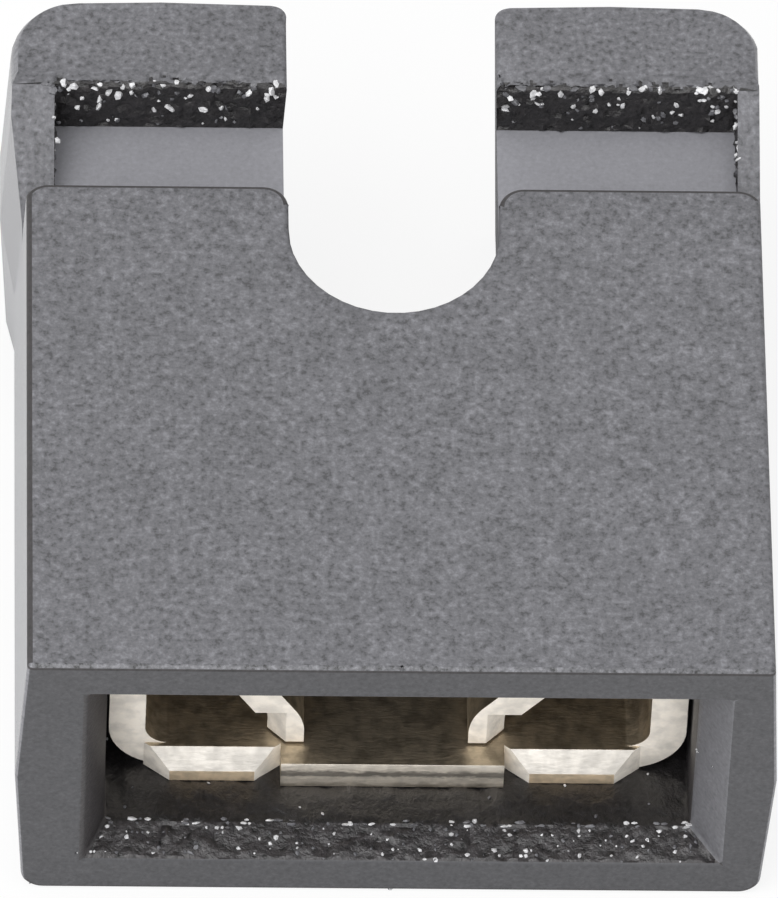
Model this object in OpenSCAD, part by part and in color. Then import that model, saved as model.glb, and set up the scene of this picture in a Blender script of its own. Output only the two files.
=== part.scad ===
// Two-position jumper shunt: a moulded housing with a notched, grooved grip, and a folded
// contact clip inside it. The part lies on its back face. X runs across it, +Y from the mouth to
// the ear tips, +Z from the back face to the front face.

/* [Housing] */
// Width across the parting line
width = 4.98; // [4.8:0.02:5.08]
// Length from the mouth to the ear tips
length = 5.6; // [5.2:0.1:7]
// Thickness from the back face to the front face
thickness = 2.4; // [2.3:0.02:2.54]
// Draft of the side walls away from the parting line, in degrees
side_draft = 3; // [0.5:0.5:5]
// Radius of the two long edges of the back face
back_edge_r = 0.15; // [0.05:0.01:0.3]

/* [Ears] */
// Width of the notch between the ears, at the front face
notch_w = 1.39; // [1:0.01:1.42]
// Depth of the notch from the ear tips to its round bottom
notch_depth = 2.63; // [1.9:0.01:2.8]
// Draft that widens the notch from the front face to the back face, in degrees
notch_draft = 2.2; // [0.5:0.1:2.5]
// Width across both ears at the parting line
ear_span = 5.04; // [4.96:0.01:5.06]
// Sideways lean of both ears from the middle of the body
ear_lean = 0.065; // [0:0.005:0.07]
// Draft of the outer side of the right ear, in degrees; the left one has the body's draft
ear_draft = 0.5; // [0:0.5:4]
// Length along which an ear's side blends into the body
ear_blend = 0.65; // [0.1:0.05:0.7]
// Corner radius at the outer side of an ear's tip
tip_outer_r = 0.4; // [0.1:0.01:0.45]
// Corner radius at the notch side of an ear's tip
tip_inner_r = 0.1; // [0.03:0.01:0.2]
// Fall of each tip towards the notch
tip_fall = 0.05; // [0:0.01:0.08]

/* [Grip grooves] */
// Distance from the mouth to the grooves
groove_start = 4.02; // [3.7:0.01:4.2]
// Width of a groove along the part
groove_w = 0.84; // [0.5:0.01:1]
// Depth of a groove below the front or back face
groove_depth = 0.44; // [0.2:0.01:0.5]
// Distance from the middle of the grooves to their outer ends
groove_reach = 2.27; // [2.1:0.01:2.32]
// Sideways offset of the grooves from the middle of the body
groove_offset = 0.03; // [0:0.01:0.06]
// Corner radius of the body's flats beside the grooves
flat_corner_r = 0.17; // [0.05:0.01:0.25]

/* [Cavity] */
// Width of the cavity that holds the contact
cavity_w = 3.86; // [3.8:0.02:4.04]
// Wall between the cavity and the front or back face
face_wall = 0.38; // [0.34:0.01:0.42]
// Wall between the cavity and the bottom of the notch
saddle_wall = 0.42; // [0.3:0.01:0.6]
// Widening of the mouth on each side
mouth_flare_w = 0.18; // [0.05:0.01:0.24]
// Widening of the mouth above and below
mouth_flare_h = 0.07; // [0.02:0.01:0.15]
// Length of the mouth's bevels into the cavity
mouth_depth = 0.28; // [0.1:0.01:0.4]
// Sideways offset of the cavity from the middle of the body
core_offset = 0.035; // [0:0.005:0.08]
// Sideways offset of the mouth's bevels from the cavity
mouth_offset = 0.035; // [0:0.005:0.04]
// Wall between the end of a pin well and the ear tip
end_wall = 0.5; // [0.3:0.05:0.8]

/* [Pins] */
// Distance between the two pins that the shunt joins
pitch = 2.54; // [2.48:0.02:2.58]
// Side of a square pin
pin = 0.64; // [0.5:0.01:0.68]
// Gap round a pin in its well
pin_gap = 0.05; // [0.02:0.01:0.08]

/* [Contact] */
// Thickness of the sheet
sheet = 0.24; // [0.2:0.01:0.26]
// Gap between the contact and each side of the cavity
fit_side = 0.03; // [0.01:0.005:0.06]
// Gap between the contact and the top of the cavity
fit_top = 0.04; // [0.01:0.01:0.1]
// Gap between the contact and the inner end of the cavity
fit_end = 0.03; // [0:0.01:0.1]
// Distance from the mouth to the front edge of the bridge
bridge_recess = 0.57; // [0.45:0.01:0.6]
// Distance from the mouth to the tips of the entry tabs
tab_recess = 0.61; // [0.5:0.01:0.65]
// Distance from the mouth to the front edges of the folded walls
wall_recess = 0.74; // [0.7:0.01:0.9]
// Inside radius of the folds at the outer walls
fold_r = 0.16; // [0.1:0.01:0.2]
// Inside radius of the fold at the lip of a spring roof
lip_r = 0.2; // [0.1:0.01:0.24]
// Distance from the clip's middle to the pin side of a lip
lip_reach = 0.78; // [0.74:0.01:0.83]
// Sideways offset of the two lips from the clip's middle
lip_offset = 0.075; // [0:0.005:0.08]
// Straight height of a lip below its fold
lip_h = 0.13; // [0.06:0.01:0.2]
// Gap between a lip and the base plate
lip_gap = 0.02; // [0.01:0.01:0.05]
// Width of the coined lead-in on a lip's front edge
lip_coin = 0.12; // [0.04:0.01:0.16]
// Half width of the bridge between the two receptacles
bridge_half = 0.735; // [0.6:0.005:0.76]
// Sideways offset of the bridge and the tabs from the clip's middle
bridge_offset = 0.03; // [0:0.005:0.04]
// Width of a tab at its tip
tab_tip_w = 0.56; // [0.3:0.01:0.62]
// Width of a tab where it leaves the base plate
tab_root_w = 0.9; // [0.7:0.01:0.9]
// Thickness left at a tab's coined tip
tab_tip_t = 0.1; // [0.05:0.01:0.18]
// Length of the coined slope on a tab
tab_slope = 0.1; // [0.05:0.01:0.12]

/* [Hidden] */

arc_steps = 12;       // flats along each fold or edge radius
over = 0.5;           // how far a cutter runs past the faces that it opens
half_t = thickness / 2;
groove_end = groove_start + groove_w;
neck_half = half_t - groove_depth;
cavity_half = half_t - face_wall;
saddle_y = length - notch_depth;
cavity_end = saddle_y - saddle_wall;
clip_half_w = cavity_w / 2 - fit_side;
clip_end = cavity_end - fit_end;
plate_z = -cavity_half;             // the base plate lies on the cavity's floor
plate_top = plate_z + sheet;
well = pin + 2 * pin_gap;

// Points along an arc about centre c, from angle a0 to a1
function arc(c, r, a0, a1) =
    [for (i = [0:arc_steps]) let (a = a0 + (a1 - a0) * i / arc_steps) c + r * [cos(a), sin(a)]];

// Moves from the frame of the mouth and parting plane to the part's own frame
module placed() {
    translate([0, -length / 2, half_t]) children();
}

// Extrudes a section drawn in X and Z from y0 to y1
module along_y(y0, y1) {
    translate([0, y1, 0]) rotate([90, 0, 0]) linear_extrude(height = y1 - y0) children();
}

// Extrudes an outline drawn in X and Y from z0 to z1
module along_z(z0, z1) {
    translate([0, 0, z0]) linear_extrude(height = z1 - z0) children();
}

// Extrudes a section drawn in Y and Z from x0 to x1
module along_x(x0, x1) {
    translate([x0, 0, 0]) rotate([90, 0, 90]) linear_extrude(height = x1 - x0) children();
}

// Keeps a shape and adds its mirror image across the plane with normal n
module both(n) {
    children();
    mirror(n) children();
}

// ---- Housing ----

// Section of the body: sides drafted from the parting line, back edges rounded
module body_section() {
    slope = half_t * tan(side_draft);
    edge_z = back_edge_r - half_t;
    edge_x = width / 2 + (edge_z * sin(side_draft) - back_edge_r) / cos(side_draft);
    right = concat(arc([edge_x, edge_z], back_edge_r, -90, -side_draft),
        [[width / 2, 0], [width / 2 - slope, half_t]]);
    left = [for (i = [len(right) - 1:-1:0]) [-right[i].x, right[i].y]];
    polygon(concat(right, left));
}

// What a corner of radius r takes off a square corner that points to +X and +Y
module corner_waste(r) {
    difference() {
        translate([-r, -r]) square(r + over);
        translate([-r, -r]) circle(r, $fn = 48);
    }
}

// Outline of the body's flats: rounded where the grooves and the notch cut them free
module flat_outline() {
    flat_half = width / 2 - neck_half * tan(side_draft);
    difference() {
        translate([-width / 2, 0]) square([width, groove_start]);
        both([1, 0]) {
            translate([flat_half, groove_start]) corner_waste(flat_corner_r);
            translate([notch_w / 2, groove_start]) mirror([1, 0]) corner_waste(flat_corner_r);
        }
    }
}

// From the mouth to the grooves
module body() {
    intersection() {
        along_y(0, groove_start) body_section();
        union() {
            along_z(-half_t, half_t) flat_outline();
            along_z(-neck_half, neck_half)
                translate([-width / 2, 0]) square([width, groove_start]);
        }
    }
}

// Cuts off what lies outside a drafted side. At the parting line the side passes x, y, and
// heads that many degrees from +Y towards +X.
module side_cut(x, y, heading, draft) {
    translate([x, y, 0]) rotate([0, 0, -heading]) both([0, 0, 1])
        rotate([0, -draft, 0]) translate([0, -length, -over]) cube([width, 2 * length, thickness + over]);
}

// One ear's solid, on the +X side, whose drafted outer side stands at outer_x
module ear_block(outer_x, draft) {
    inner_x = notch_w / 2;
    blend_x = min(width / 2, outer_x);
    blend_angle = atan((outer_x - blend_x) / ear_blend);
    difference() {
        along_z(-half_t, half_t) polygon([[inner_x - over, groove_start], [width, groove_start],
            [width, length], [outer_x, length], [inner_x, length - tip_fall],
            [inner_x - over, length - tip_fall]]);
        side_cut(outer_x, length, 0, draft);
        if (blend_angle > 0)
            side_cut(blend_x, groove_start, blend_angle, atan(tan(draft) * cos(blend_angle)));
        along_z(-thickness, thickness) {
            translate([outer_x, length]) corner_waste(tip_outer_r);
            translate([inner_x, length - tip_fall]) mirror([1, 0]) corner_waste(tip_inner_r);
        }
    }
}

// One ear: a neck between the grooves, a full tip, and past each groove's outer end a rail that
// slopes down to the body
module ear(outer_x, draft, rail_x) {
    rail_side = [[groove_start, neck_half], [groove_end, half_t], [groove_end, neck_half]];
    intersection() {
        ear_block(outer_x, draft);
        union() {
            along_z(-neck_half, neck_half)
                translate([0, groove_start]) square([width, groove_w + over]);
            along_x(0, width) translate([groove_end, -half_t])
                square([length - groove_end, thickness]);
            both([0, 0, 1]) along_x(rail_x, width) polygon(rail_side);
        }
    }
}

// The cavity with its bevelled mouth
module cavity() {
    side = cavity_w / 2;
    along_y(0, cavity_end) translate([-side, -cavity_half]) square([cavity_w, 2 * cavity_half]);
    intersection() {
        along_z(-half_t, half_t) polygon([[mouth_offset - side - mouth_flare_w, 0],
            [mouth_offset + side + mouth_flare_w, 0], [side, mouth_depth], [-side, mouth_depth]]);
        along_x(-width / 2, width / 2) polygon([[0, -cavity_half - mouth_flare_h],
            [mouth_depth, -cavity_half], [mouth_depth, cavity_half],
            [0, cavity_half + mouth_flare_h]]);
    }
}

// A blind well in each ear for the pin that passes the contact
module pin_wells() {
    both([1, 0, 0])
        along_y(cavity_end - over, length - end_wall)
            translate([(pitch - well) / 2, plate_top - pin_gap]) square(well);
}

// The open-ended notch, with a round bottom, drafted from the front face to the back face
module notch() {
    slope = tan(notch_draft);
    front_r = notch_w / 2 - over * slope;
    back_r = notch_w / 2 + (thickness + over) * slope;
    bottom = -half_t - over;
    top = half_t + over;
    translate([0, saddle_y + notch_w / 2, bottom])
        cylinder(h = top - bottom, r1 = back_r, r2 = front_r, $fn = 96);
    along_y(saddle_y + notch_w / 2, length + over)
        polygon([[-back_r, bottom], [back_r, bottom], [front_r, top], [-front_r, top]]);
}

// One moulded piece
module housing() {
    color([0.22, 0.22, 0.24]) placed() difference() {
        union() {
            body();
            ear(ear_span / 2 - ear_lean, ear_draft, groove_reach + groove_offset);
            mirror([1, 0, 0])
                ear(ear_span / 2 + ear_lean, side_draft, groove_reach - groove_offset);
        }
        notch();
        pin_wells();
        translate([core_offset, 0, 0]) cavity();
    }
}

// ---- Contact ----

// Section of the folded half on the +X side: base plate, outer wall, spring roof and lip.
// The roof is the straight run that touches the top fold and the lip fold.
module fold_section(lip_x) {
    c1 = [clip_half_w - fold_r - sheet, plate_z + fold_r + sheet];
    c2 = [c1.x, cavity_half - fit_top - fold_r - sheet];
    c3 = [lip_x + lip_r, plate_top + lip_h];
    run = c3 - c2;
    turn = atan2(run.y, run.x) + 360 - acos((fold_r - lip_r) / norm(run));
    outside = concat(arc(c1, fold_r + sheet, -90, 0), arc(c2, fold_r + sheet, 0, turn),
        arc(c3, lip_r + sheet, turn, 180));
    inside = concat(arc(c3, lip_r, 180, turn), arc(c2, fold_r, turn, 0), arc(c1, fold_r, 0, -90));
    polygon(concat([[bridge_half - over, plate_z]], outside,
        [[lip_x - sheet, plate_top + lip_gap], [lip_x, plate_top + lip_gap]], inside,
        [[bridge_half - over, plate_top]]));
}

// Coined entry tab in front of a receptacle, with its corners cut back
module tab() {
    root = wall_recess + tab_slope;
    intersection() {
        translate([bridge_half + tab_root_w / 2, 0, 0]) along_z(plate_z, plate_top) polygon([
            [-tab_root_w / 2, root], [-tab_root_w / 2, wall_recess],
            [-tab_tip_w / 2, tab_recess], [tab_tip_w / 2, tab_recess],
            [tab_root_w / 2, wall_recess], [tab_root_w / 2, root]]);
        along_x(0, clip_half_w) polygon([[tab_recess, plate_z],
            [tab_recess, plate_z + tab_tip_t], [tab_recess + tab_slope, plate_top],
            [root, plate_top], [root, plate_z]]);
    }
}

// Half of the clip on the +X side, with the lead-in coined on its lip
module receptacle(lip_x) {
    difference() {
        along_y(wall_recess, clip_end) fold_section(lip_x);
        along_z(plate_top, plate_top + lip_h + lip_r) polygon([
            [lip_x - lip_coin, wall_recess - over], [lip_x + lip_coin, wall_recess - over],
            [lip_x + lip_coin, wall_recess + 2 * lip_coin], [lip_x, wall_recess + lip_coin],
            [lip_x - lip_coin, wall_recess]]);
    }
}

// One folded strip: two receptacles joined by a flat bridge
module contact() {
    color([0.83, 0.69, 0.42]) placed() translate([core_offset, 0, 0]) {
        receptacle(lip_reach - lip_offset);
        mirror([1, 0, 0]) receptacle(lip_reach + lip_offset);
        translate([-bridge_offset, 0, 0]) {
            both([1, 0, 0]) tab();
            along_z(plate_z, plate_top) translate([-bridge_half, bridge_recess])
                square([2 * bridge_half, clip_end - bridge_recess]);
        }
    }
}

housing();
contact();
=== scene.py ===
"""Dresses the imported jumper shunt: a moulded housing and the folded contact clip inside it.

The housing is spark-textured black polyester and the clip is gold-flashed phosphor bronze. Both take
their shape from the CAD solids, and get their edge radii, surface texture and finish here.
"""

import math
import random

import bmesh
import bpy
from mathutils import Euler, Matrix, Vector
from mathutils.noise import fractal


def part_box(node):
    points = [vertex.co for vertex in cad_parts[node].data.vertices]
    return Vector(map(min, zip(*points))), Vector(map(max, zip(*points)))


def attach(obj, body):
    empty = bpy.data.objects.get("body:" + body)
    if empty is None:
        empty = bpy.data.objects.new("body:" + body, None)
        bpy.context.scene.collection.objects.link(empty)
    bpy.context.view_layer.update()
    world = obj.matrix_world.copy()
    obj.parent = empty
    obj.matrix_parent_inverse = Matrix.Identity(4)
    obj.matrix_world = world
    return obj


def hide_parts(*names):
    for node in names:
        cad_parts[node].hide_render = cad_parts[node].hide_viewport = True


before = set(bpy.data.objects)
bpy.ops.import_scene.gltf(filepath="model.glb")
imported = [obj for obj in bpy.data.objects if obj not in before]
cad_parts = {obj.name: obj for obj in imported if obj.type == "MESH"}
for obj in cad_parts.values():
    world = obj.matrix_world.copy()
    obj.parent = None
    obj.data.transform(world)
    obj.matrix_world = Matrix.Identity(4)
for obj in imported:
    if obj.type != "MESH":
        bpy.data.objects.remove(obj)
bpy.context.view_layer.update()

bl_info = {
    "name": "Jumper shunt",
    "version": (1, 0, 0),
    "blender": (4, 5, 0),
    "location": "3D View > Sidebar > Jumper shunt",
    "description": "Dresses the jumper shunt and lights it on a pale floor",
    "category": "Object",
}

MM = 0.001
HOUSING_LOW, HOUSING_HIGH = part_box("housing")
MOUTH_Y = HOUSING_LOW.y
MID_Z = (HOUSING_LOW.z + HOUSING_HIGH.z) / 2

# Where the housing's forms lie, in metres: Y from the mouth, Z from the parting plane, X from the middle
GROOVE = (4.02 * MM, 4.86 * MM)
NECK_HALF = 0.76 * MM
CAVITY_HALF, CAVITY_SIDE, CAVITY_END = 0.82 * MM, 2.0 * MM, 2.55 * MM
MOUTH_HALF, MOUTH_SIDE, MOUTH_END = 0.95 * MM, 2.25 * MM, 0.3 * MM
END_BEVEL_HALF = 0.8 * MM
RAIL_SIDE, RAIL_START = (2.2 * MM, 2.36 * MM), 3.2 * MM
NOTCH_SIDE, NOTCH_START, NOTCH_END = 0.8 * MM, 2.9 * MM, 3.6 * MM
NECK_SIDE, NECK_START = 0.95 * MM, 3.7 * MM

# Above these heights lie the large faces, their edges, and the radii made on those edges
FACE_HALF, FACE_EDGE, FACE_RADIUS = 1.19 * MM, 1.15 * MM, 1.1 * MM

# The ears: where their outer parts start and where they end, the radius of their tip corners, the draft
# of the left and right outer sides in degrees, and how far their rounding takes to grow to its full size
EAR_SIDE, TIP_Y = 1.9 * MM, HOUSING_HIGH.y - HOUSING_LOW.y
CORNER = 0.4 * MM
DRAFTS = {-1: 3.0, 1: 0.5}
TAPER = 0.15 * MM

# The ragged strip beside each groove's far wall: its width, and half its length
FRAY, FRAY_SIDE = 0.13 * MM, 2.27 * MM

# What still counts as lying in a plane, and the least normal component of a face that lies square to it
TINY = 0.012 * MM
FLAT = 0.9

# The housing's finishes, some with painted light or shade in their colour, in the order of its material
# slots. LIP only marks faces while they are made
SPARK, SHEEN_FLOOR, WALL, SHADED_RIM, SHEEN_SIDE, SHADED_CORE, MOUTH, SHADED_EDGE, BURR, FLECK, SHADOW_FLOOR, BEVEL, GRIT, LIP = range(14)

# How many torn flecks a finish gets, and the least and greatest size of one, in millimetres
FLECKS = {WALL: (620, 0.014, 0.038), MOUTH: (150, 0.006, 0.02), BURR: (60, 0.006, 0.014),
          SHADOW_FLOOR: (110, 0.006, 0.02), SHADED_RIM: (5, 0.006, 0.012), BEVEL: (16, 0.006, 0.012)}

# The contact's finishes, one darkened as painted shade, in the order of its material slots
SKIN, STAMPED, SHEARED, COINED_SHADED, TAB_TIP = range(5)

# Azimuth and elevation of each lamp in degrees, its size in metres and its power in watts
LAMPS = {"lamp_key": (-55, 50, 0.25, 0.5), "lamp_front": (-8, 25, 0.2, 0.25), "lamp_top": (0, 85, 0.3, 0.35)}
LAMP_DISTANCE = 0.3


def linear(text):
    """A linear colour from an sRGB hex value."""
    parts = [int(text[i:i + 2], 16) / 255 for i in (1, 3, 5)]
    return tuple(c / 12.92 if c <= 0.04045 else ((c + 0.055) / 1.055) ** 2.4 for c in parts)


def add(tree, kind, sockets=None, **settings):
    """Adds a node, with its settings, and its sockets set to values or linked to outputs."""
    made = tree.nodes.new(kind)
    for name, value in settings.items():
        setattr(made, name, value)
    for name, value in (sockets or {}).items():
        socket = made.inputs[name] if isinstance(name, int) else live(made.inputs, name)
        if isinstance(value, bpy.types.NodeSocket):
            tree.links.new(value, socket)
        else:
            socket.default_value = value
    return made


def live(sockets, name):
    """The socket of that name that the node's settings leave in use."""
    return next(s for s in sockets if s.name == name and s.enabled)


def blank_material(name):
    """A new material with only an output node: returns it, its tree and its output."""
    made = bpy.data.materials.new(name)
    made.use_nodes = True
    made.node_tree.nodes.clear()
    return made, made.node_tree, made.node_tree.nodes.new("ShaderNodeOutputMaterial")


def moulded_polyester(name, tone, level, grain, relief, roughness, contrast):
    """Black glass-filled polyester as it leaves a spark-eroded or a polished steel face: small pits and
    dull and bright flecks. tone times level is its colour, grain the size of a pit and relief its
    depth in metres, and contrast how far the flecks stray from the colour. Some finishes set level to
    paint light or shade into that colour."""
    made, tree, out = blank_material(name)
    where = add(tree, "ShaderNodeTexCoord").outputs["Object"]
    pits = add(tree, "ShaderNodeTexNoise", {"Vector": where, "Scale": 1 / grain, "Detail": 3.0,
                                            "Roughness": 0.6})
    cloud = add(tree, "ShaderNodeTexNoise", {"Vector": where, "Scale": 1 / (7 * grain), "Detail": 2.0})
    base = Vector(tone) * level
    shade = add(tree, "ShaderNodeValToRGB", {"Fac": pits.outputs["Fac"]})
    ramp = shade.color_ramp
    ramp.elements[0].position = 0.32
    ramp.elements[0].color = (*(base * (1 - contrast)), 1)
    ramp.elements[1].position = 0.7
    ramp.elements[1].color = (*(base * (1 + contrast)), 1)
    for place, share in ((0.44, 0.25), (0.55, -0.1)):
        ramp.elements.new(place).color = (*(base * (1 - share * contrast)), 1)
    patch = add(tree, "ShaderNodeMapRange", {"Value": cloud.outputs["Fac"], "From Min": 0.3, "From Max": 0.7,
                                             "To Min": 1 - 0.14 * contrast, "To Max": 1 + 0.14 * contrast})
    colour = add(tree, "ShaderNodeVectorMath", {0: shade.outputs["Color"], "Scale": patch.outputs["Result"]},
                 operation="SCALE")
    bump = add(tree, "ShaderNodeBump", {"Height": pits.outputs["Fac"], "Distance": relief})
    shader = add(tree, "ShaderNodeBsdfPrincipled", {
        "Base Color": colour.outputs["Vector"], "Roughness": roughness, "Normal": bump.outputs["Normal"],
        "IOR": 1.57})
    tree.links.new(shader.outputs["BSDF"], out.inputs["Surface"])
    return made


def gold_flashed_bronze(name, tone, roughness, stain, shear=None):
    """Phosphor bronze strip with a thin gold flash, rolled and stamped: soft, slightly streaked gloss.
    stain is how dark its dull patches get. shear is the height of a sheared edge's lower and upper
    side, whose burnished and torn bands are light and dark, with a painted highlight line along its top."""
    made, tree, out = blank_material(name)
    where = add(tree, "ShaderNodeTexCoord").outputs["Object"]
    stretch = add(tree, "ShaderNodeMapping", {"Vector": where, "Scale": (0.3, 1.0, 1.0)})
    streaks = add(tree, "ShaderNodeTexNoise", {"Vector": stretch.outputs["Vector"], "Scale": 1 / (0.02 * MM),
                                               "Detail": 3.0})
    stains = add(tree, "ShaderNodeTexNoise", {"Vector": where, "Scale": 1 / (0.1 * MM), "Detail": 3.0})
    base = Vector(tone)
    shade = add(tree, "ShaderNodeValToRGB", {"Fac": stains.outputs["Fac"]})
    shade.color_ramp.elements[0].position = 0.35
    shade.color_ramp.elements[0].color = (*(base * (1 - stain)), 1)
    shade.color_ramp.elements[1].position = 0.6
    shade.color_ramp.elements[1].color = (*base, 1)
    colour = shade.outputs["Color"]
    if shear:
        height = add(tree, "ShaderNodeSeparateXYZ", {"Vector": where}).outputs["Z"]
        waver = add(tree, "ShaderNodeMath", {0: streaks.outputs["Fac"], 1: 0.06 * MM, 2: height},
                    operation="MULTIPLY_ADD")
        level = add(tree, "ShaderNodeMapRange", {
            "Value": waver.outputs["Value"], "From Min": shear[0] + 0.03 * MM,
            "From Max": shear[1] + 0.03 * MM})
        bands = add(tree, "ShaderNodeValToRGB", {"Fac": level.outputs["Result"]})
        ramp = bands.color_ramp
        ramp.elements[0].color, ramp.elements[1].color = (0.5, 0.46, 0.4, 1), (1.0, 0.98, 0.94, 1)
        # The last light step paints a highlight along the edge's top
        for place, grey in ((0.22, 1.0), (0.42, 0.95), (0.5, 0.35), (0.62, 0.38), (0.72, 0.9)):
            ramp.elements.new(place).color = (grey, grey * 0.96, grey * 0.9, 1)
        colour = add(tree, "ShaderNodeVectorMath", {0: colour, 1: bands.outputs["Color"]},
                     operation="MULTIPLY").outputs["Vector"]
    gloss = add(tree, "ShaderNodeMapRange", {"Value": streaks.outputs["Fac"], "To Min": roughness - 0.1,
                                             "To Max": roughness + 0.15})
    bump = add(tree, "ShaderNodeBump", {"Height": streaks.outputs["Fac"], "Distance": 0.003 * MM})
    shader = add(tree, "ShaderNodeBsdfPrincipled", {
        "Base Color": colour, "Roughness": gloss.outputs["Result"], "Metallic": 1.0,
        "Normal": bump.outputs["Normal"]})
    tree.links.new(shader.outputs["BSDF"], out.inputs["Surface"])
    return made


def cad_copy(name, merge):
    """A CAD node's mesh as one closed skin, its flat faces whole again and its shortest edges gone."""
    mesh = bmesh.new()
    mesh.from_mesh(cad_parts[name].data)
    bmesh.ops.remove_doubles(mesh, verts=mesh.verts, dist=0.0001 * MM)
    for reach, angle in ((0.0, 0.3), (merge, 1.0)):
        bmesh.ops.remove_doubles(mesh, verts=mesh.verts, dist=reach)
        bmesh.ops.dissolve_limit(mesh, angle_limit=math.radians(angle), use_dissolve_boundaries=False,
                                 verts=mesh.verts, edges=mesh.edges)
    return mesh


def round_edges(mesh, radius, pick, clamp=False):
    """Rounds the edges that pick chooses, and returns the new faces."""
    edges = [e for e in mesh.edges if e.is_manifold and pick(e)]
    made = bmesh.ops.bevel(mesh, geom=edges, offset=radius, offset_type="OFFSET", affect="EDGES",
                           segments=3, profile=0.5, material=-1, clamp_overlap=clamp)
    return made["faces"]


def cut(mesh, faces, place, normal):
    """Cuts those faces along a plane."""
    parts = set(faces)
    for face in faces:
        parts.update(face.edges)
        parts.update(face.verts)
    bmesh.ops.bisect_plane(mesh, geom=list(parts), dist=0.0002 * MM, plane_co=place, plane_no=normal)


def roughen(mesh, zone, steps, grain, depth):
    """Divides the faces of one finish finely, by a step along each axis, and pits and raises them."""
    for axis, step in steps:
        faces = [f for f in mesh.faces if f.material_index == zone]
        places = [v.co[axis] for f in faces for v in f.verts]
        at = min(places) + step
        while at < max(places):
            normal = [0, 0, 0]
            normal[axis] = 1
            near = [f for f in mesh.faces if f.material_index == zone
                    and min(v.co[axis] for v in f.verts) < at < max(v.co[axis] for v in f.verts)]
            cut(mesh, near, [at * n for n in normal], normal)
            at += step
    mesh.normal_update()
    inner = [v for v in mesh.verts if v.link_faces and all(f.material_index == zone for f in v.link_faces)]
    moves = [v.normal * depth * (fractal(v.co / grain, 1.0, 2.0, 3) - 0.1) for v in inner]
    for v, move in zip(inner, moves):
        v.co = boxed(v.co + move)


def boxed(place):
    """The nearest place inside the housing's box."""
    return Vector([min(max(place[i], HOUSING_LOW[i]), HOUSING_HIGH[i]) for i in range(3)])


def seat(place):
    """A place as X from the middle, Y from the mouth and Z from the parting plane."""
    return place.x, place.y - MOUTH_Y, place.z - MID_Z


def on_ear(face):
    """Whether a face lies beyond the grooves."""
    return face.calc_center_median().y > MOUTH_Y + GROOVE[1]


def direction(azimuth, elevation):
    """The direction in which something stands from the part, azimuth 0 being in front of the mouth."""
    return Vector((math.sin(azimuth) * math.cos(elevation), -math.cos(azimuth) * math.cos(elevation),
                   math.sin(elevation)))


def fleck(mesh, place, size, chance, slot, length=1.0):
    """A small torn lump, standing on the surface at that place, and drawn out along X."""
    turn = Euler([chance.uniform(0, math.tau) for _ in range(3)]).to_matrix().to_4x4()
    sides = chance.uniform(0.6, 1.5), chance.uniform(0.6, 1.1), chance.uniform(0.5, 1.0)
    stretch = Matrix.Diagonal((*sides, 1))
    drawn = Matrix.Translation(place) @ Matrix.Diagonal((length, 1, 1, 1))
    made = bmesh.ops.create_icosphere(mesh, subdivisions=1, radius=size, matrix=drawn @ turn @ stretch)
    for v in made["verts"]:
        v.co = boxed(v.co + Vector([chance.uniform(-0.2, 0.2) * size for _ in range(3)]))
        for face in v.link_faces:
            face.material_index = slot


def turns(edge, degrees):
    """Whether the surface turns by more than that across an edge."""
    return edge.calc_face_angle() > math.radians(degrees)


def finish_piece(mesh, name, node, materials):
    """Makes the object of a finished mesh, in place of its CAD node."""
    for face in mesh.faces:
        face.smooth = True
    for edge in mesh.edges:
        edge.smooth = edge.is_manifold and not turns(edge, 38)
    data = bpy.data.meshes.new(name)
    mesh.to_mesh(data)
    mesh.free()
    made = bpy.data.objects.new(name, data)
    bpy.context.scene.collection.objects.link(made)
    for material in materials:
        data.materials.append(material)
    weighted = made.modifiers.new("flat faces stay flat", "WEIGHTED_NORMAL")
    weighted.keep_sharp = True
    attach(made, "root")
    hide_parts(node)
    return made


class ShuntHousingLook(bpy.types.PropertyGroup):
    """Edge radius and colours of the moulded housing."""

    edge_radius: bpy.props.FloatProperty(
        name="Edge radius", description="Radius on the housing's sharp edges",
        default=0.035 * MM, min=0.0, unit="LENGTH", precision=6)
    shoulder_radius: bpy.props.FloatProperty(
        name="Shoulder radius", description="Radius on the ears' outer long edges",
        default=0.14 * MM, min=0.0, unit="LENGTH", precision=6)
    face_tone: bpy.props.FloatVectorProperty(
        name="Face colour", description="Colour of the housing's spark-textured faces",
        default=linear("#646468"), subtype="COLOR", min=0.0, max=1.0)
    # This dark tone is painted shade in the cavity, on the mouth's left bevel and on the rounded edges, and
    # the dark of the grooves' far walls and the mouth's lower bevel
    core_and_shade_tone: bpy.props.FloatVectorProperty(
        name="Core colour",
        description="Colour of the housing inside the mouth and on the grooves' far walls",
        default=linear("#232122"), subtype="COLOR", min=0.0, max=1.0)
    fleck_tone: bpy.props.FloatVectorProperty(
        name="Fleck colour", description="Colour of the torn flecks on the rough faces",
        default=linear("#D6D6D8"), subtype="COLOR", min=0.0, max=1.0)


class ShuntContactLook(bpy.types.PropertyGroup):
    """Edge radius and colours of the contact clip."""

    edge_radius: bpy.props.FloatProperty(
        name="Edge radius", description="Radius on the strip's stamped edges",
        default=0.012 * MM, min=0.0, unit="LENGTH", precision=6)
    skin_tone: bpy.props.FloatVectorProperty(
        name="Skin colour", description="Colour of the strip's gold-flashed faces",
        default=linear("#CFC1AA"), subtype="COLOR", min=0.0, max=1.0)
    edge_tone: bpy.props.FloatVectorProperty(
        name="Edge colour", description="Colour of the strip's stamped edges at the mouth",
        default=linear("#FFFAF2"), subtype="COLOR", min=0.0, max=1.0)
    tip_tone: bpy.props.FloatVectorProperty(
        name="Tab tip colour", description="Colour of the thin tips of the tabs, worn towards the bronze",
        default=linear("#F3E0C4"), subtype="COLOR", min=0.0, max=1.0)


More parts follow.
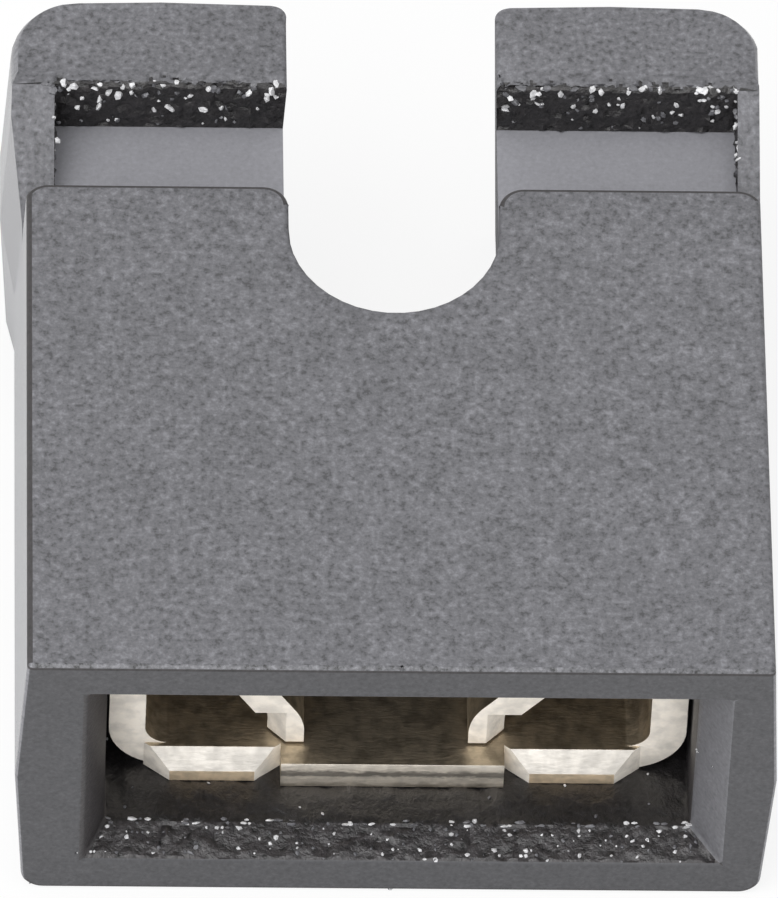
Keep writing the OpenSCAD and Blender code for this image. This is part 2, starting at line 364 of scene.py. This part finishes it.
class ShuntStage(bpy.types.PropertyGroup):
    """Settings of the camera, which the stage sets up with the lamps and the floor."""

    elevation: bpy.props.FloatProperty(
        name="Elevation", description="Angle of the camera above the floor",
        default=math.radians(51.99), subtype="ANGLE")
    azimuth: bpy.props.FloatProperty(
        name="Azimuth", description="Angle of the camera round the part, from straight in front of the mouth",
        default=math.radians(-3.127), subtype="ANGLE")
    roll: bpy.props.FloatProperty(
        name="Roll", description="Clockwise turn of the part in the view",
        default=math.radians(2.979), subtype="ANGLE")
    distance: bpy.props.FloatProperty(
        name="Distance", description="From the camera to the middle of the part",
        default=120 * MM, unit="LENGTH")
    lens: bpy.props.FloatProperty(
        name="Lens", description="Focal length of the camera, in millimetres", default=725.8)


class SHUNT_OT_housing(bpy.types.Operator):
    """Builds the moulded housing from its CAD solid"""

    bl_idname = "shunt.housing"
    bl_label = "Housing"

    def execute(self, context):
        """Copies the solid, shapes and finishes its skin, and gives it its materials."""
        look = context.scene.shunt_housing
        mesh = cad_copy("housing", 0.009 * MM)
        self.shape_ears(mesh, look.shoulder_radius)
        for face in mesh.faces:
            face.material_index = self.zone(face)
        self.round_edges(mesh, look.edge_radius)
        self.part_faces(mesh)
        self.fray(mesh)
        roughen(mesh, WALL, ((0, 0.03 * MM), (1, 0.03 * MM), (2, 0.03 * MM)), 0.05 * MM, 0.03 * MM)
        roughen(mesh, MOUTH, ((0, 0.035 * MM), (1, 0.035 * MM)), 0.06 * MM, 0.025 * MM)
        roughen(mesh, SHADOW_FLOOR, ((0, 0.05 * MM), (1, 0.05 * MM)), 0.08 * MM, 0.02 * MM)
        self.scatter(mesh)
        finish_piece(mesh, "housing_shell", "housing", self.materials(look))
        return {"FINISHED"}

    def materials(self, look):
        """The housing's finishes, some with painted light or shade in their colour, in the order of its
        material slots.
        """
        face, core_and_shade, torn = look.face_tone, look.core_and_shade_tone, look.fleck_tone
        return [
            # Spark-eroded steel leaves an even grain of fine pits: dull, with light and dark specks
            moulded_polyester("polyester_spark_textured", face, 1.0, 0.041 * MM, 0.007 * MM, 0.6, 0.58),
            # Polished steel leaves the groove's floor smooth, almost without specks; its lightest grey is a
            # painted sheen of reflected light
            moulded_polyester("polyester_groove_painted_sheen", face, 1.97, 0.03 * MM, 0.001 * MM, 0.65, 0.1),
            # The groove's far wall: black, rough and glinting
            moulded_polyester("polyester_coarse_wall", core_and_shade, 1.0, 0.04 * MM, 0.015 * MM, 0.45, 0.8),
            # The mouth's rim lies on flat steel: smooth, and painted darker than the large faces as the shade
            # on a face that looks to the front
            moulded_polyester("polyester_rim_painted_shade", face, 0.46, 0.03 * MM, 0.003 * MM, 0.6, 0.3),
            # The outer sides slide off polished steel, with a soft gloss; their light grey is a painted sheen
            # of the bright surroundings seen at a grazing angle
            moulded_polyester("polyester_side_painted_sheen", face, 1.4, 0.03 * MM, 0.001 * MM, 0.25, 0.3),
            # The mould's pin shapes the cavity's sides: slightly grained, and dark as painted shade, which
            # the mouth's left bevel takes too
            moulded_polyester("polyester_core_side_painted_shade", core_and_shade, 2.2, 0.03 * MM, 0.006 * MM, 0.5, 0.5),
            # The pin tears the mouth's lower bevel: coarse, black and grey
            moulded_polyester("polyester_coarse_mouth", core_and_shade, 1.7, 0.05 * MM, 0.015 * MM, 0.4, 0.95),
            # Rounded edges turn away from the lamps: a thin dark line of painted shade round the faces
            moulded_polyester("polyester_edge_painted_shade", core_and_shade, 1.6, 0.03 * MM, 0.002 * MM, 0.6, 0.5),
            # A burr stands on the edge at the mouth: a broken line of bright and dark specks
            moulded_polyester("polyester_burred_edge", face, 0.9, 0.035 * MM, 0.01 * MM, 0.45, 0.9),
            # Small near-white spots on the lumps
            moulded_polyester("polyester_white_fleck", torn, 1.0, 0.02 * MM, 0.004 * MM, 0.35, 0.25),
            # The cavity's floor lies in shadow: near black, as painted shadow
            moulded_polyester("polyester_floor_painted_shadow", core_and_shade, 0.8, 0.04 * MM, 0.01 * MM, 0.4, 0.8),
            # The mouth's right bevel is smooth steel in the light: an even mid grey
            moulded_polyester("polyester_mouth_side", face, 0.95, 0.03 * MM, 0.002 * MM, 0.5, 0.25),
            # Torn crumbs in the face's own colour lie between the white ones
            moulded_polyester("polyester_torn_grit", face, 1.0, 0.02 * MM, 0.004 * MM, 0.45, 0.5)]

    def zone(self, face):
        """Which finish a face has, by the part of the mould that formed it, and for painted light and shade
        by where the face lies.
        """
        x, y, z = seat(face.calc_center_median())
        side, up, level = abs(x), abs(z), abs(face.normal.z)
        # The rim gets the darker colour of painted shade
        if abs(y) < TINY:
            return SHADED_RIM
        if up < MOUTH_HALF and side < MOUTH_SIDE and y < MOUTH_END:
            if z < -CAVITY_HALF + TINY:
                return MOUTH
            # The left bevel of the mouth takes the dark finish as painted shade; the right one, facing the
            # key lamp, keeps the mid grey
            return BEVEL if x > 0 and up < END_BEVEL_HALF else SHADED_CORE
        if up < CAVITY_HALF + TINY and side < CAVITY_SIDE and y < CAVITY_END + TINY:
            # The cavity's floor is painted near black as shadow, its other faces dark as painted shade
            return SHADOW_FLOOR if z < 0 and face.normal.z > FLAT else SHADED_CORE
        # The grooves' floors get the lighter grey of a painted sheen
        if GROOVE[0] - TINY < y < GROOVE[1] + TINY and abs(up - NECK_HALF) < TINY and level > FLAT:
            return SHEEN_FLOOR
        rail = RAIL_SIDE[0] < side < RAIL_SIDE[1] and GROOVE[0] < y < GROOVE[1]
        if up > NECK_HALF and (rail and abs(face.normal.x) > FLAT or abs(y - GROOVE[1]) < TINY):
            return WALL
        # The outer sides get the light grey of a painted sheen
        if side > CAVITY_SIDE and level < (0.99 if y > GROOVE[1] else 0.3):
            return SHEEN_SIDE
        return SPARK

    def shape_ears(self, mesh, shoulder):
        """Carries the ears' tip corners round with the draft, and rounds their outer long edges."""
        lines = [GROOVE[1] + 0.001 * MM, GROOVE[1] + 0.05 * MM, GROOVE[1] + TAPER]
        lines += [TIP_Y - CORNER * (1 - math.sin(math.radians(t))) for t in range(0, 75, 12)]
        for y in lines:
            cut(mesh, [f for f in mesh.faces if on_ear(f)], (0, MOUTH_Y + y, 0), (0, 1, 0))
        half = HOUSING_HIGH.z - MID_Z
        reaches = {side: max(v.co.x * side for v in mesh.verts) for side in DRAFTS}
        for side, reach in reaches.items():
            slope = math.tan(math.radians(DRAFTS[side]))
            for t in range(0, 100, 18):
                inset = shoulder * (1 - math.sin(math.radians(t)))
                for place, normal in (((side * (reach - half * slope - inset), 0, 0), (1, 0, 0)),
                                      ((0, 0, MID_Z + half - inset), (0, 0, 1)),
                                      ((0, 0, MID_Z - half + inset), (0, 0, 1))):
                    cut(mesh, [f for f in mesh.faces if on_ear(f)
                               and f.calc_center_median().x * side > RAIL_SIDE[0]], place, normal)
            for v in mesh.verts:
                if v.co.x * side >= EAR_SIDE and v.co.y - MOUTH_Y >= GROOVE[1] + 0.0005 * MM:
                    self.round_ear(v, side, reach, slope, half, shoulder)
        bmesh.ops.remove_doubles(mesh, verts=mesh.verts, dist=0.002 * MM)
        bmesh.ops.dissolve_degenerate(mesh, dist=0.0005 * MM, edges=mesh.edges)
        bmesh.ops.triangulate(mesh, faces=[f for f in mesh.faces if on_ear(f)
                                           and abs(f.calc_center_median().x) > EAR_SIDE])

    def round_ear(self, v, side, reach, slope, half, shoulder):
        """Moves a vertex of an ear's outer part onto its rounded tip corner and long edge. reach is how far
        the ear stands out at the parting plane, slope its draft, half its half thickness."""
        y, up = v.co.y - MOUTH_Y, abs(v.co.z - MID_Z)
        over = max(0.0, y - (TIP_Y - CORNER))
        edge = reach - up * slope - CORNER + math.sqrt(max(0.0, CORNER ** 2 - over ** 2))
        inset, drop = max(0.0, edge - v.co.x * side), half - up
        if v.co.x * side > edge:
            v.co.x = edge * side
        radius = shoulder * min(1.0, (y - GROOVE[1]) / TAPER)
        if inset < radius and drop < radius:
            far = math.hypot(radius - inset, radius - drop)
            if far > radius:
                share = 1 - radius / far
                v.co.x -= side * (radius - inset) * share
                v.co.z -= math.copysign((radius - drop) * share, v.co.z - MID_Z)

    def round_edges(self, mesh, radius):
        """Rounds the sharp edges, and gives the new faces their finish, which paints shade on some of them.
        """
        for face in round_edges(mesh, radius, self.is_rounded):
            x, y, z = seat(face.calc_center_median())
            up = abs(z)
            # Below the mouth's top edge the round gets painted shade, its upward part the burr
            if y < TINY + radius and up > FACE_RADIUS:
                face.material_index = BURR if abs(face.normal.z) > 0.5 else SHADED_EDGE
            elif up > FACE_RADIUS and y < GROOVE[0] + TINY:
                # Only the rounds on the left side and at the pads' ends get painted shade; the others keep
                # the face's finish
                left, end = x < -RAIL_SIDE[0], y > GROOVE[0] - 0.2 * MM
                face.material_index = SHADED_EDGE if left or end else SPARK
            elif abs(y - GROOVE[1]) < radius + TINY and up > NECK_HALF - TINY and abs(x) > NOTCH_SIDE:
                face.material_index = WALL

    def is_rounded(self, edge):
        """Whether an edge is sharp and away from the rails, the tips, the grooves' roots and the neck."""
        x, y, z = seat((edge.verts[0].co + edge.verts[1].co) / 2)
        side, up = abs(x), abs(z)
        rail = side > RAIL_SIDE[0] and y > RAIL_START and not (up > FACE_EDGE and y < GROOVE[0] + TINY)
        tip = y > TIP_Y - 0.15 * MM
        root = abs(y - GROOVE[1]) < TINY and abs(up - NECK_HALF) < TINY
        neck = side < NECK_SIDE and y > NECK_START and up < FACE_EDGE
        return turns(edge, 35) and not (rail or tip or root or neck)

    def part_faces(self, mesh):
        """Cuts the front and back faces round the notch, so that each piece of them is simple."""
        for place, normal in (((0, MOUTH_Y + NOTCH_START, 0), (0, 1, 0)), ((-NOTCH_SIDE, 0, 0), (1, 0, 0)),
                              ((NOTCH_SIDE, 0, 0), (1, 0, 0)), ((0, MOUTH_Y + NOTCH_END, 0), (0, 1, 0))):
            cut(mesh, [f for f in mesh.faces if abs(f.normal.z) > 0.99
                       and abs(f.calc_center_median().z - MID_Z) > FACE_HALF
                       and f.calc_center_median().y < MOUTH_Y + GROOVE[0]], place, normal)

    def fray(self, mesh):
        """Breaks up the edge of the ears' faces, above the grooves' far walls, into dark pits."""
        for side in (-1, 1):
            for place, normal in (((0, MOUTH_Y + GROOVE[1] + FRAY, 0), (0, 1, 0)),
                                  ((-FRAY_SIDE, 0, 0), (1, 0, 0)), ((FRAY_SIDE, 0, 0), (1, 0, 0))):
                cut(mesh, [f for f in mesh.faces if f.material_index == SPARK
                           and f.normal.z * side > FLAT and on_ear(f)], place, normal)
        for face in mesh.faces:
            x, y, _ = seat(face.calc_center_median())
            if (face.material_index == SPARK and abs(face.normal.z) > FLAT and 0 < y - GROOVE[1] < FRAY
                    and abs(x) < FRAY_SIDE + 0.01 * MM):
                face.material_index = LIP
        roughen(mesh, LIP, ((0, 0.022 * MM), (1, 0.022 * MM)), 0.05 * MM, 0.0)
        sunk = set()
        for face in [f for f in mesh.faces if f.material_index == LIP]:
            middle = face.calc_center_median()
            share = (middle.y - MOUTH_Y - GROOVE[1]) / FRAY
            deep = fractal(middle / (0.06 * MM), 1.0, 2.0, 3) > 0.75 * share
            face.material_index = WALL if deep else SPARK
            if deep:
                sunk.update(v for v in face.verts if all(
                    f.material_index in (LIP, WALL, SPARK) and abs(f.normal.z) > FLAT for f in v.link_faces))
        for v in sunk:
            v.co.z -= math.copysign(0.02 * MM, v.co.z - MID_Z)

    def scatter(self, mesh):
        """Torn flecks of the polyester: many along the grooves' far walls, some round the mouth."""
        chance = random.Random(11)
        for zone, (count, least, most) in FLECKS.items():
            faces = [f for f in mesh.faces if f.material_index == zone]
            areas = [f.calc_area() for f in faces]
            for face in chance.choices(faces, areas, k=count):
                middle = face.calc_center_median()
                high = (abs(middle.z - MID_Z) - NECK_HALF) / (0.44 * MM)
                if zone == WALL and chance.random() > 0.1 + 0.9 * high:
                    continue
                size = chance.uniform(least, most) * MM * (1.0 if zone != WALL else 0.6 + 0.4 * high)
                fleck(mesh, middle, size, chance, FLECK if chance.random() < 0.5 else GRIT)
        ledge = [f for f in mesh.faces if f.material_index in (MOUTH, SHADOW_FLOOR)
                 and abs(f.calc_center_median().y - MOUTH_Y - 0.29 * MM) < 0.04 * MM]
        for face in chance.choices(ledge, k=55):
            fleck(mesh, face.calc_center_median(), chance.uniform(0.008, 0.018) * MM, chance,
                  FLECK if chance.random() < 0.5 else GRIT, 2.2)


class SHUNT_OT_contact(bpy.types.Operator):
    """Builds the folded contact clip from its CAD solid"""

    bl_idname = "shunt.contact"
    bl_label = "Contact clip"

    def execute(self, context):
        """Copies the solid, sorts its faces by finish and rounds its stamped edges."""
        look = context.scene.shunt_contact
        mesh = cad_copy("contact", 0.002 * MM)
        for face in mesh.faces:
            face.material_index = self.zone(face)
            if face.material_index == SHEARED:
                heights = [v.co.z for v in face.verts]
                shear = min(heights), max(heights)
        round_edges(mesh, look.edge_radius, lambda e: turns(e, 30), clamp=True)
        finish_piece(mesh, "contact_clip", "contact", [
            # Rolled strip under a thin gold flash: pale, soft gloss with darker stains
            gold_flashed_bronze("bronze_gold_flashed", look.skin_tone, 0.45, 0.4),
            # Stamped edges are flashed over a rough break: near white and dull
            gold_flashed_bronze("bronze_stamped_edge", look.edge_tone, 0.75, 0.15),
            # The sheared front edge: a bright burnished band with a dark torn one above it, and a painted
            # highlight line along its top
            gold_flashed_bronze("bronze_sheared_edge", look.edge_tone, 0.5, 0.2, shear),
            # Coining presses the tabs flat and smooth: an even slope, painted slightly darker as shade that
            # holds down the lamp's highlight on it
            gold_flashed_bronze("bronze_coined_tab_shaded", Vector(look.edge_tone) * 0.72, 0.6, 0.2),
            # The tabs' thin tips are worn towards the bronze: a warmer line
            gold_flashed_bronze("bronze_tab_tip", look.tip_tone, 0.6, 0.25)])
        return {"FINISHED"}

    def zone(self, face):
        """Which finish a face has, by how the press made it."""
        x, z = face.calc_center_median().x, face.calc_center_median().z
        if face.normal.y < -FLAT and abs(x) < 0.9 * MM and z < MID_Z - 0.5 * MM:
            return SHEARED
        if face.normal.y < -FLAT and abs(x) > 0.9 * MM and z < MID_Z - 0.6 * MM:
            return TAB_TIP
        if face.normal.y < -0.3:
            return COINED_SHADED if face.normal.z > 0.3 else STAMPED
        return SKIN


class SHUNT_OT_stage(bpy.types.Operator):
    """Sets up the floor, the lamps, the background and the camera"""

    bl_idname = "shunt.stage"
    bl_label = "Stage"

    def execute(self, context):
        """Sets up what is not part of the object."""
        scene = context.scene
        self.floor(scene)
        self.world(scene)
        for name, settings in LAMPS.items():
            self.lamp(scene, name, *settings)
        self.camera(scene, scene.shunt_stage)
        scene.view_settings.view_transform = "Standard"
        return {"FINISHED"}

    def floor(self, scene):
        """A pale floor, which takes the part's shadow and glows white for the camera."""
        mesh = bmesh.new()
        bmesh.ops.create_grid(mesh, x_segments=1, y_segments=1, size=0.6)
        data = bpy.data.meshes.new("floor")
        mesh.to_mesh(data)
        mesh.free()
        made = bpy.data.objects.new("floor", data)
        scene.collection.objects.link(made)
        material, tree, out = blank_material("pale_floor")
        paper = add(tree, "ShaderNodeBsdfDiffuse", {"Color": (*linear("#F2F2F2"), 1)})
        glow = add(tree, "ShaderNodeEmission", {"Strength": 1.0})
        ray = add(tree, "ShaderNodeLightPath")
        share = add(tree, "ShaderNodeMath", {0: ray.outputs["Is Camera Ray"], 1: 0.85}, operation="MULTIPLY")
        mix = add(tree, "ShaderNodeMixShader", {
            "Fac": share.outputs["Value"], 1: paper.outputs["BSDF"], 2: glow.outputs["Emission"]})
        tree.links.new(mix.outputs["Shader"], out.inputs["Surface"])
        data.materials.append(material)

    def world(self, scene):
        """A white background, dimmer for the light that it casts than for what is seen of it."""
        world = bpy.data.worlds.new("studio")
        world.use_nodes = True
        tree = world.node_tree
        tree.nodes.clear()
        ray = add(tree, "ShaderNodeLightPath")
        seen = ray.outputs["Is Camera Ray"]
        for kind in ("Is Glossy Ray", "Is Transmission Ray"):
            seen = add(tree, "ShaderNodeMath", {0: seen, 1: ray.outputs[kind]},
                       operation="MAXIMUM").outputs["Value"]
        level = add(tree, "ShaderNodeMapRange", {"Value": seen, "To Min": 0.4, "To Max": 1.0})
        back = add(tree, "ShaderNodeBackground", {"Color": (1, 1, 1, 1), "Strength": level.outputs["Result"]})
        add(tree, "ShaderNodeOutputWorld", {"Surface": back.outputs["Background"]})
        scene.world = world

    def lamp(self, scene, name, azimuth, elevation, size, power):
        """A round lamp that faces the part."""
        data = bpy.data.lights.new(name, "AREA")
        data.shape = "DISK"
        data.size = size
        data.energy = power
        made = bpy.data.objects.new(name, data)
        away = direction(math.radians(azimuth), math.radians(elevation))
        made.location = away * LAMP_DISTANCE
        made.rotation_mode = "QUATERNION"
        made.rotation_quaternion = (-away).to_track_quat("-Z", "Y")
        scene.collection.objects.link(made)

    def camera(self, scene, stage):
        """The camera, aimed at the middle of the part and turned by the roll."""
        roll = stage.roll
        away = direction(stage.azimuth, stage.elevation)
        right = Vector((math.cos(stage.azimuth), math.sin(stage.azimuth), 0))
        up = away.cross(right)
        tilted_right = right * math.cos(roll) + up * math.sin(roll)
        tilted_up = up * math.cos(roll) - right * math.sin(roll)
        middle = Vector((0, 0.1 * MM, MID_Z)) - tilted_right * 0.007 * MM - tilted_up * 0.117 * MM
        data = bpy.data.cameras.new("camera")
        data.lens = stage.lens
        data.clip_start, data.clip_end = 0.01, 5
        made = bpy.data.objects.new("camera", data)
        made.rotation_mode = "QUATERNION"
        basis = Matrix((tilted_right, tilted_up, away)).transposed()
        made.rotation_quaternion = basis.to_quaternion()
        made.location = middle + away * stage.distance
        scene.collection.objects.link(made)
        scene.camera = made


class SHUNT_PT_panel(bpy.types.Panel):
    """Lists the sizes, the colours and the steps."""

    bl_label = "Jumper shunt"
    bl_space_type = "VIEW_3D"
    bl_region_type = "UI"
    bl_category = "Jumper shunt"

    def draw(self, context):
        """A box for each step, with its settings and its button."""
        for operator, group in STEPS:
            box = self.layout.box()
            settings = getattr(context.scene, group)
            for name in settings.bl_rna.properties.keys():
                if name not in {"rna_type", "name"}:
                    box.prop(settings, name)
            box.operator(operator.bl_idname)


GROUPS = {"shunt_housing": ShuntHousingLook, "shunt_contact": ShuntContactLook, "shunt_stage": ShuntStage}
STEPS = ((SHUNT_OT_housing, "shunt_housing"), (SHUNT_OT_contact, "shunt_contact"),
         (SHUNT_OT_stage, "shunt_stage"))


def register():
    """Adds the settings, the steps and the panel to Blender."""
    for name, group in GROUPS.items():
        bpy.utils.register_class(group)
        setattr(bpy.types.Scene, name, bpy.props.PointerProperty(type=group))
    for operator, _ in STEPS:
        bpy.utils.register_class(operator)
    bpy.utils.register_class(SHUNT_PT_panel)


def unregister():
    """Takes them away again, in reverse order."""
    bpy.utils.unregister_class(SHUNT_PT_panel)
    for operator, _ in reversed(STEPS):
        bpy.utils.unregister_class(operator)
    for name, group in reversed(GROUPS.items()):
        delattr(bpy.types.Scene, name)
        bpy.utils.unregister_class(group)


def main():
    register()
    bpy.ops.shunt.housing()
    bpy.ops.shunt.contact()
    bpy.ops.shunt.stage()


if __name__ == "__main__":
    main()
